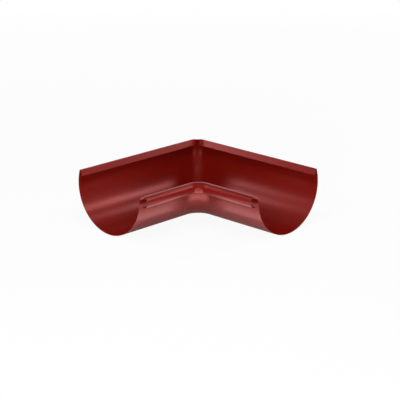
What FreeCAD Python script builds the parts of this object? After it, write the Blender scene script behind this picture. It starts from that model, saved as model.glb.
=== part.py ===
"""Internal gutter angle: a half-round eaves gutter turned through an inside corner, pressed from one sheet.

Two straight arms meet at a right angle in a smooth corner.  The front edge is rolled into an open bead,
the rear edge is folded inwards as a water stop, and that fold is slotted where it crosses the mitre.
One arm runs along +X and the other along -Y; the mitre is the vertical plane between them.
Lengths are in millimetres and angles in degrees.
"""
import FreeCAD, Part
import Sketcher
import math
import os

NODE = "gutter_angle"
SIZES = (
    ("outer_radius", 75.0, "outside radius of the half-round wall"),
    ("arm_length", 211.0, "from the crossing of the two centre lines to the cut end of an arm"),
    ("sheet_thickness", 0.6, "thickness of the coated steel sheet"),
    ("rear_angle", 17.75, "angle that the rear wall climbs past the level of the half-round's centre"),
    ("fold_radius", 1.5, "outside radius of the bend on top of the rear wall"),
    ("fold_angle", 136.0, "angle that the rear fold is bent through"),
    ("fold_width", 10.2, "flat width of the folded strip"),
    ("bead_radius", 9.75, "outside radius of the rolled bead"),
    ("bead_angle", 286.0, "angle that the bead is rolled through"),
    ("corner_rear", 17.0, "plan radius of the corner at the rear wall"),
    ("corner_front", 31.0, "plan radius of the corner at the front wall"),
    ("slot_width", 8.0, "gap in the rear fold at the mitre"),
    ("slot_rounding", 3.5, "radius on the two free corners beside that gap"),
)
SPARE = 5.0  # how far a cutter reaches past what it cuts
SEW_TOLERANCE = 1e-4
QUARTER_WEIGHT = math.cos(math.radians(45))  # weight of the middle pole of a quarter circle
VECTOR = FreeCAD.Vector
START, END, CENTRE = range(1, 4)  # point numbers in sketch constraints
X_AXIS, Y_AXIS = range(-1, -3, -1)  # curve numbers of a sketch's own axes


def make_sizes(doc):
    """Spreadsheet with one row for each driving dimension: its name, its value and what it measures."""
    sheet = doc.addObject("Spreadsheet::Sheet", "sizes")
    for row, (name, value, meaning) in enumerate(SIZES, start=1):
        sheet.set(f"A{row}", name)
        sheet.set(f"B{row}", str(value))
        sheet.setAlias(f"B{row}", name)
        sheet.set(f"C{row}", meaning)
    doc.recompute()
    return sheet


def polar(centre, radius, degrees):
    angle = math.radians(degrees)
    return centre + VECTOR(radius * math.cos(angle), radius * math.sin(angle), 0)


def add_line(sketch, start, end):
    return sketch.addGeometry(Part.LineSegment(start, end))


def add_arc(sketch, centre, radius, start, end):
    circle = Part.Circle(centre, VECTOR(0, 0, 1), radius)
    return sketch.addGeometry(Part.ArcOfCircle(circle, math.radians(start), math.radians(end)))


def join(sketch, kind, *ends):
    """Constrains pairs of curve ends, each given as (curve, point, curve, point)."""
    for end in ends:
        sketch.addConstraint(Sketcher.Constraint(kind, *end))


def measure(sketch, kind, target, value, formula):
    """Adds a dimension to a sketch and ties it to the spreadsheet."""
    index = sketch.addConstraint(Sketcher.Constraint(kind, *target, value))
    sketch.setExpression(f"Constraints[{index}]", formula)


def make_section(doc, sizes):
    """Line of the sheet's weather side, seen on the cut end of the arm that runs along -Y.

    Across, it goes from the rear wall to the front wall; the origin is the centre of the half-round.
    In order along the sheet its curves are the folded strip, the bend, the wall and the bead.  The side
    that is outside on the wall is inside the bead, because the bead is rolled outwards.
    """
    middle = VECTOR(0, 0, 0)
    wall_top = 180 - sizes.rear_angle
    strip_turn = wall_top - sizes.fold_angle
    bend_middle = polar(middle, sizes.outer_radius - sizes.fold_radius, wall_top)
    strip_top = polar(bend_middle, sizes.fold_radius, strip_turn)
    strip_edge = polar(strip_top, sizes.fold_width, strip_turn - 90)
    bead_inside = sizes.bead_radius - sizes.sheet_thickness
    bead_middle = VECTOR(sizes.outer_radius + bead_inside, 0, 0)

    sketch = doc.addObject("Sketcher::SketchObject", "section")
    strip = add_line(sketch, strip_edge, strip_top)
    bend = add_arc(sketch, bend_middle, sizes.fold_radius, strip_turn, wall_top)
    wall = add_arc(sketch, middle, sizes.outer_radius, wall_top, 360)
    bead = add_arc(sketch, bead_middle, bead_inside, 180 - sizes.bead_angle, 180)
    join(sketch, "Tangent", (strip, END, bend, START), (bend, END, wall, START), (bead, END, wall, END))
    join(sketch, "Coincident", (wall, CENTRE, X_AXIS, START))
    join(sketch, "PointOnObject", (wall, END, X_AXIS))

    measure(sketch, "Radius", (wall,), sizes.outer_radius, "sizes.outer_radius")
    measure(sketch, "Radius", (bend,), sizes.fold_radius, "sizes.fold_radius")
    measure(sketch, "Radius", (bead,), bead_inside, "sizes.bead_radius - sizes.sheet_thickness")
    measure(sketch, "Distance", (strip,), sizes.fold_width, "sizes.fold_width")
    for curve, turn, formula in (
        (wall, 180 + sizes.rear_angle, "(180 + sizes.rear_angle) * 1 deg"),
        (bend, sizes.fold_angle, "sizes.fold_angle * 1 deg"),
        (bead, sizes.bead_angle, "sizes.bead_angle * 1 deg"),
    ):
        measure(sketch, "Angle", (curve,), math.radians(turn), formula)
    sketch.Placement.Rotation = FreeCAD.Rotation(VECTOR(1, 0, 0), 90)
    sketch.setExpression("Placement.Base.y", f"-sizes.arm_length - {SPARE}")
    doc.recompute()
    return sketch


def make_slot_cutter(doc, sizes, section):
    """Prism that opens the rear fold at the mitre and rounds the fold's two corners there.

    Its outline stands square to the mitre, with its origin in the middle of the gap at the strip's edge.
    """
    half = sizes.slot_width / 2
    wide = half + sizes.slot_rounding
    tall = sizes.outer_radius

    sketch = doc.addObject("Sketcher::SketchObject", "slot_outline")
    bottom = add_line(sketch, VECTOR(-wide, -SPARE), VECTOR(wide, -SPARE))
    top = add_line(sketch, VECTOR(half, tall), VECTOR(-half, tall))
    right_drop = add_line(sketch, VECTOR(wide, -SPARE), VECTOR(wide, 0))
    left_drop = add_line(sketch, VECTOR(-wide, 0), VECTOR(-wide, -SPARE))
    right_side = add_line(sketch, VECTOR(half, sizes.slot_rounding), VECTOR(half, tall))
    left_side = add_line(sketch, VECTOR(-half, tall), VECTOR(-half, sizes.slot_rounding))
    right_corner = add_arc(sketch, VECTOR(wide, sizes.slot_rounding), sizes.slot_rounding, 180, 270)
    left_corner = add_arc(sketch, VECTOR(-wide, sizes.slot_rounding), sizes.slot_rounding, 270, 360)
    join(
        sketch, "Coincident",
        (bottom, END, right_drop, START), (right_drop, END, right_corner, END),
        (right_side, END, top, START), (top, END, left_side, START),
        (left_corner, START, left_drop, START), (left_drop, END, bottom, START),
    )
    join(sketch, "Tangent", (right_corner, START, right_side, START), (left_side, END, left_corner, END))
    join(sketch, "Vertical", (right_drop,), (right_side,), (left_side,), (left_drop,))
    join(sketch, "Horizontal", (bottom,))
    join(sketch, "Symmetric", (top, START, top, END, Y_AXIS))
    join(sketch, "PointOnObject", (right_corner, END, X_AXIS), (left_corner, START, X_AXIS))
    join(sketch, "Equal", (left_corner, right_corner))
    measure(sketch, "Radius", (right_corner,), sizes.slot_rounding, "sizes.slot_rounding")
    measure(sketch, "Distance", (top,), sizes.slot_width, "sizes.slot_width")
    measure(sketch, "DistanceY", (X_AXIS, START, top, END), tall, "sizes.outer_radius")
    for target in ((right_corner,), (left_corner,)):
        sketch.addConstraint(Sketcher.Constraint("Angle", *target, math.radians(90)))
    sketch.addConstraint(Sketcher.Constraint("DistanceY", bottom, END, X_AXIS, START, SPARE))
    strip_edge = section.Placement.multVec(section.Geometry[0].StartPoint)
    across_mitre, rearward = VECTOR(1, 1, 0), VECTOR(-1, 1, 0)
    sketch.Placement = FreeCAD.Placement(
        VECTOR(0, 0, strip_edge.z), FreeCAD.Rotation(across_mitre, VECTOR(0, 0, 1), -rearward, "XYZ")
    )

    cutter = doc.addObject("Part::Extrusion", "slot_cutter")
    cutter.Base = sketch
    cutter.DirMode = "Normal"
    cutter.Reversed = True
    cutter.Solid = True
    cutter.setExpression("LengthFwd", "2 * sizes.outer_radius")
    doc.recompute()
    return cutter


def mirrored(point):
    """The same point on the other arm: its image in the mitre plane."""
    return VECTOR(-point.y, -point.x, point.z)


def straight_arms(geometry, placement, turn_point, sizes):
    """Plain faces of one section curve on both arms, each trimmed along the line where its corner starts."""
    wide = 2 * sizes.outer_radius
    long = sizes.arm_length + SPARE
    edge = geometry.toShape()
    edge.Placement = placement
    run = edge.extrude(VECTOR(0, long + wide, 0))
    outline = Part.makePolygon([
        VECTOR(-wide, -turn_point(-wide), -wide), VECTOR(wide, -turn_point(wide), -wide),
        VECTOR(wide, -long - wide, -wide), VECTOR(-wide, -long - wide, -wide),
        VECTOR(-wide, -turn_point(-wide), -wide),
    ])
    arm = run.common(Part.Face(outline).extrude(VECTOR(0, 0, 2 * wide)))
    return arm.Faces + arm.mirror(VECTOR(0, 0, 0), VECTOR(1, 1, 0)).Faces


def smooth_spans(geometry, placement):
    """A sketch curve as exact rational curves, placed, with one curve for each of its smooth spans."""
    whole = geometry.toNurbs()
    whole.transform(placement.Matrix)
    knots = whole.getKnots()
    spans = [whole.copy() for _ in knots[1:]]
    for span, first, last in zip(spans, knots, knots[1:]):
        span.segment(first, last)
    return spans


def round_corner(curve, turn_point):
    """Exact face of one section curve round the corner, where every point of it follows a quarter circle."""
    rows, weights = [], []
    for pole, weight in zip(curve.getPoles(), curve.getWeights()):
        start = VECTOR(pole.x, -turn_point(pole.x), pole.z)
        tip = VECTOR(pole.x, -pole.x, pole.z)
        rows.append([start, tip, mirrored(start)])
        weights.append([weight, weight * QUARTER_WEIGHT, weight])
    face = Part.BSplineSurface()
    face.buildFromPolesMultsKnots(
        rows, curve.getMultiplicities(), [3, 3], curve.getKnots(), [0.0, 1.0],
        False, False, curve.Degree, 2, weights,
    )
    return face.toShape()


def sweep_section(curves, placement, turn_point, sizes):
    """Faces of some of the section's curves along both arms and round the corner between them.

    turn_point gives, for a distance across the section, how far from the crossing the corner starts there.
    """
    faces = []
    for geometry in curves:
        faces += straight_arms(geometry, placement, turn_point, sizes)
        faces += [round_corner(span, turn_point) for span in smooth_spans(geometry, placement)]
    return faces


def make_skin(doc, sizes, section, cutter):
    """Weather side of the sheet, from the folded strip's edge to the bead's lip, as one shell.

    The wall's corner is tightest at the rear and widens evenly to the front; the bead goes round the
    front at a constant section.
    """
    reach = sizes.outer_radius
    widening = (sizes.corner_front - sizes.corner_rear) / (2 * reach)

    def wall_turn(across):
        return across + sizes.corner_rear + widening * (across + reach)

    def bead_turn(across):
        return reach + sizes.corner_front

    strip, bend, wall, bead = section.Geometry
    fold = Part.Compound(sweep_section((strip, bend), section.Placement, wall_turn, sizes))
    fold.sewShape(SEW_TOLERANCE)
    skin_faces = fold.cut(cutter.Shape).Faces
    skin_faces += sweep_section((wall,), section.Placement, wall_turn, sizes)
    skin_faces += sweep_section((bead,), section.Placement, bead_turn, sizes)
    sewn = Part.Compound(skin_faces)
    sewn.sewShape(SEW_TOLERANCE)
    skin = doc.addObject("Part::Feature", "weather_side")
    skin.Shape = sewn
    return skin


def make_angle(doc, sizes, skin):
    """Thickens the skin inwards into sheet metal and cuts both arms square to their length."""
    sheet = doc.addObject("Part::Offset", "pressed_sheet")
    sheet.Source = skin
    sheet.Mode = "Skin"
    sheet.Join = "Arc"
    sheet.Fill = True
    sheet.setExpression("Value", "-sizes.sheet_thickness")

    room = doc.addObject("Part::Box", "cut_length")
    room.setExpression("Length", "3 * sizes.outer_radius + sizes.arm_length")
    room.setExpression("Width", "3 * sizes.outer_radius + sizes.arm_length")
    room.setExpression("Height", "4 * sizes.outer_radius")
    room.setExpression("Placement.Base.x", "-3 * sizes.outer_radius")
    room.setExpression("Placement.Base.y", "-sizes.arm_length")
    room.setExpression("Placement.Base.z", "-2 * sizes.outer_radius")

    angle = doc.addObject("Part::Common", NODE)
    angle.Base = sheet
    angle.Tool = room
    angle.Label = NODE
    doc.recompute()
    return angle


def main():
    doc = FreeCAD.newDocument(NODE)
    sizes = make_sizes(doc)
    section = make_section(doc, sizes)
    cutter = make_slot_cutter(doc, sizes, section)
    skin = make_skin(doc, sizes, section, cutter)
    angle = make_angle(doc, sizes, skin)
    # the part's own frame: the middle of its footprint, on the ground under the half-round
    middle = (sizes.arm_length - sizes.outer_radius) / 2
    angle.Placement = FreeCAD.Placement(VECTOR(-middle, middle, sizes.outer_radius), FreeCAD.Rotation())
    doc.recompute()

    for thing in doc.Objects:
        if {"Invalid", "Error"} & set(thing.State):
            raise RuntimeError(f"{thing.Label} failed: {thing.getStatusString()}")
    shape = angle.Shape
    if shape.isNull() or not shape.isValid() or len(shape.Solids) != 1:
        raise RuntimeError("the angle is not one valid solid")
    print(f"{NODE}: {shape.Volume:.0f} mm3 of sheet, {len(shape.Faces)} faces")
    os.makedirs("parts", exist_ok=True)
    shape.exportStep(f"parts/{NODE}.step")


main()
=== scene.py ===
"""Studio view of the internal gutter angle.

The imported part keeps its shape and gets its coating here.  The script adds a pale floor, soft lamps
and the camera.  Lengths are in metres, angles in degrees and lamp powers in watts.
"""
import math

import bpy
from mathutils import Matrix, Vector


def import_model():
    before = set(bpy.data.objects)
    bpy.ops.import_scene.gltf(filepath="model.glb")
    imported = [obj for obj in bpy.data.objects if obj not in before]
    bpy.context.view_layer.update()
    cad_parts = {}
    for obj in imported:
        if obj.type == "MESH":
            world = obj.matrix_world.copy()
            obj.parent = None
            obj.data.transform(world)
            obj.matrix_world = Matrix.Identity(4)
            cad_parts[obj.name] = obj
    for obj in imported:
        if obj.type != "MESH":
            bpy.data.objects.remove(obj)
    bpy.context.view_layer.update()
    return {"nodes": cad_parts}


NODE = "gutter_angle"
WHITE = (1, 1, 1, 1)

# where the photograph was taken from
CAMERA_PLACE = (1.6128, -1.6437, 0.7816)
CAMERA_TARGET = (-0.0653, 0.0707, 0.0124)
CAMERA_ROLL = -0.09
CAMERA_LENS = 128.27
SENSOR_WIDTH = 36.0
CAMERA_REACH = 50.0

# red-brown coating, semi-gloss
PAINT_COLOUR = (0.3, 0.0084, 0.0036)
PAINT_METALLIC = 0.4
PAINT_ROUGHNESS = 0.28
PAINT_IOR = 1.8

FLOOR_RADIUS = 2.2
FLOOR_SIDES = 96
FLOOR_COLOUR = (0.92, 0.92, 0.92)
# share of the floor that is plain white to the camera, out to the second value; from there it rises to
# the whole at the edge, and what is left of the floor shows the shadow
FLOOR_GLOW = 0.93
FLOOR_PLAIN = 0.4
# share of that white, and of the world's, that is seen in gloss
GLOSS_GLOW = 0.1
WORLD_LIGHT = 0.01

# name, azimuth, elevation, distance, width, height, power, seen in gloss
# azimuth 0 is the side of the camera, and it grows towards the right of the picture
LAMPS = (
    ("lamp_right", 100, 38, 1.6, 0.28, 0.28, 0.95, True),
    ("lamp_right_back", 120, 18, 1.6, 0.28, 0.28, 5.9, True),
    ("lamp_right_high", 130, 48, 1.6, 0.28, 0.28, 0.5, True),
    ("lamp_left", -100, 28, 1.6, 0.28, 0.28, 0.7, True),
    ("lamp_left_back", -120, 38, 1.6, 0.28, 0.28, 1.9, True),
    ("lamp_back", 180, 27, 1.6, 0.6, 0.5, 1.2, True),
    ("fill_top", 0, 60, 1.7, 0.8, 0.6, 14.5, False),
    ("fill_front", 0, 10, 1.7, 0.8, 0.6, 13, False),
    ("fill_left", -45, 35, 1.7, 0.8, 0.6, 4, False),
)
LAMP_TARGET = (0, 0, 0.05)

# soft cards that lie on the floor along the two outer walls and are seen only in gloss
# name, x, y, turn
CARDS = (
    ("card_left", 0.024, -0.0775, 0),
    ("card_right", 0.0775, -0.024, 90),
)
CARD_WIDTH = 0.042
CARD_LENGTH = 0.105
CARD_LIFT = 0.001
CARD_POWER = 0.009
CARD_SPREAD = 120


def aim(thing, place, target, roll=0.0):
    """Puts a camera or lamp at a place, looking at a target, and rolls it about its own axis."""
    look = Vector(target) - Vector(place)
    turn = look.to_track_quat("-Z", "Y").to_matrix().to_4x4()
    turn.translation = Vector(place)
    thing.matrix_world = turn
    thing.rotation_euler.rotate_axis("Z", math.radians(roll))


def add_camera():
    data = bpy.data.cameras.new("camera")
    data.lens = CAMERA_LENS
    data.sensor_width = SENSOR_WIDTH
    data.clip_end = CAMERA_REACH
    camera = bpy.data.objects.new("camera", data)
    bpy.context.scene.collection.objects.link(camera)
    aim(camera, CAMERA_PLACE, CAMERA_TARGET, CAMERA_ROLL)
    bpy.context.scene.camera = camera


def add_lamps():
    """Soft panels round the object, placed by their direction from the camera's side."""
    facing = Vector(CAMERA_PLACE) - Vector(CAMERA_TARGET)
    middle = math.degrees(math.atan2(facing.y, facing.x))
    for name, azimuth, elevation, distance, width, height, power, in_gloss in LAMPS:
        data = bpy.data.lights.new(name, "AREA")
        data.shape = "RECTANGLE"
        data.size = width
        data.size_y = height
        data.energy = power
        lamp = bpy.data.objects.new(name, data)
        bpy.context.scene.collection.objects.link(lamp)
        lamp.visible_camera = False
        lamp.visible_glossy = in_gloss
        turn = math.radians(middle + azimuth)
        rise = math.radians(elevation)
        level = math.cos(rise)
        way = Vector((math.cos(turn) * level, math.sin(turn) * level, math.sin(rise)))
        aim(lamp, way * distance, LAMP_TARGET)


def add_cards():
    """Two low panels that face up from the floor."""
    for name, x, y, turn in CARDS:
        data = bpy.data.lights.new(name, "AREA")
        data.shape = "RECTANGLE"
        data.size = CARD_WIDTH
        data.size_y = CARD_LENGTH
        data.energy = CARD_POWER
        data.spread = math.radians(CARD_SPREAD)
        card = bpy.data.objects.new(name, data)
        bpy.context.scene.collection.objects.link(card)
        card.visible_camera = False
        card.visible_diffuse = False
        card.location = (x, y, CARD_LIFT)
        card.rotation_euler = (math.pi, 0, math.radians(turn))


def add_world():
    """Even light all round, with plain white for the camera and a share of it for gloss."""
    world = bpy.data.worlds.new("studio")
    bpy.context.scene.world = world
    world.use_nodes = True
    nodes = world.node_tree.nodes
    links = world.node_tree.links
    light = nodes["Background"]
    light.inputs["Strength"].default_value = WORLD_LIGHT
    white = nodes.new("ShaderNodeBackground")
    path = nodes.new("ShaderNodeLightPath")
    share = nodes.new("ShaderNodeMath")
    share.operation = "MULTIPLY_ADD"
    share.inputs[1].default_value = GLOSS_GLOW
    choice = nodes.new("ShaderNodeMixShader")
    light.inputs["Color"].default_value = WHITE
    white.inputs["Color"].default_value = WHITE
    links.new(path.outputs["Is Glossy Ray"], share.inputs[0])
    links.new(path.outputs["Is Camera Ray"], share.inputs[2])
    links.new(share.outputs[0], choice.inputs["Fac"])
    links.new(light.outputs[0], choice.inputs[1])
    links.new(white.outputs[0], choice.inputs[2])
    links.new(choice.outputs[0], nodes["World Output"].inputs["Surface"])


def add_floor():
    """A round pale floor that turns plain white towards its edge, where the white world takes over."""
    turns = [2 * math.pi * side / FLOOR_SIDES for side in range(FLOOR_SIDES)]
    rim = [(FLOOR_RADIUS * math.cos(turn), FLOOR_RADIUS * math.sin(turn), 0) for turn in turns]
    mesh = bpy.data.meshes.new("floor")
    mesh.from_pydata(rim, [], [tuple(range(FLOOR_SIDES))])
    floor = bpy.data.objects.new("floor", mesh)
    bpy.context.scene.collection.objects.link(floor)
    material = bpy.data.materials.new("floor")
    material.use_nodes = True
    nodes = material.node_tree.nodes
    links = material.node_tree.links
    nodes.remove(nodes["Principled BSDF"])
    lit = nodes.new("ShaderNodeBsdfDiffuse")
    lit.inputs["Color"].default_value = (*FLOOR_COLOUR, 1)
    white = nodes.new("ShaderNodeEmission")
    path = nodes.new("ShaderNodeLightPath")
    place = nodes.new("ShaderNodeNewGeometry")
    distance = nodes.new("ShaderNodeVectorMath")
    distance.operation = "LENGTH"
    fade = nodes.new("ShaderNodeMapRange")
    fade.inputs["From Min"].default_value = FLOOR_PLAIN
    fade.inputs["From Max"].default_value = FLOOR_RADIUS
    fade.inputs["To Min"].default_value = FLOOR_GLOW
    fade.inputs["To Max"].default_value = 1
    eye = nodes.new("ShaderNodeMath")
    eye.operation = "MULTIPLY"
    share = nodes.new("ShaderNodeMath")
    share.operation = "MULTIPLY_ADD"
    share.inputs[1].default_value = GLOSS_GLOW
    mix = nodes.new("ShaderNodeMixShader")
    links.new(place.outputs["Position"], distance.inputs[0])
    links.new(distance.outputs["Value"], fade.inputs["Value"])
    links.new(path.outputs["Is Camera Ray"], eye.inputs[0])
    links.new(fade.outputs["Result"], eye.inputs[1])
    links.new(path.outputs["Is Glossy Ray"], share.inputs[0])
    links.new(eye.outputs[0], share.inputs[2])
    links.new(share.outputs[0], mix.inputs["Fac"])
    links.new(lit.outputs[0], mix.inputs[1])
    links.new(white.outputs[0], mix.inputs[2])
    links.new(mix.outputs[0], nodes["Material Output"].inputs["Surface"])
    mesh.materials.append(material)


def make_coating():
    """Semi-gloss paint on steel."""
    material = bpy.data.materials.new("coating")
    material.use_nodes = True
    shader = material.node_tree.nodes["Principled BSDF"]
    shader.inputs["Base Color"].default_value = (*PAINT_COLOUR, 1)
    shader.inputs["Metallic"].default_value = PAINT_METALLIC
    shader.inputs["Roughness"].default_value = PAINT_ROUGHNESS
    shader.inputs["IOR"].default_value = PAINT_IOR
    return material


def main():
    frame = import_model()
    angle = frame["nodes"][NODE]
    angle.data.materials.clear()
    angle.data.materials.append(make_coating())
    add_floor()
    add_world()
    add_lamps()
    add_cards()
    add_camera()
    bpy.context.scene.view_settings.view_transform = "Standard"


main()
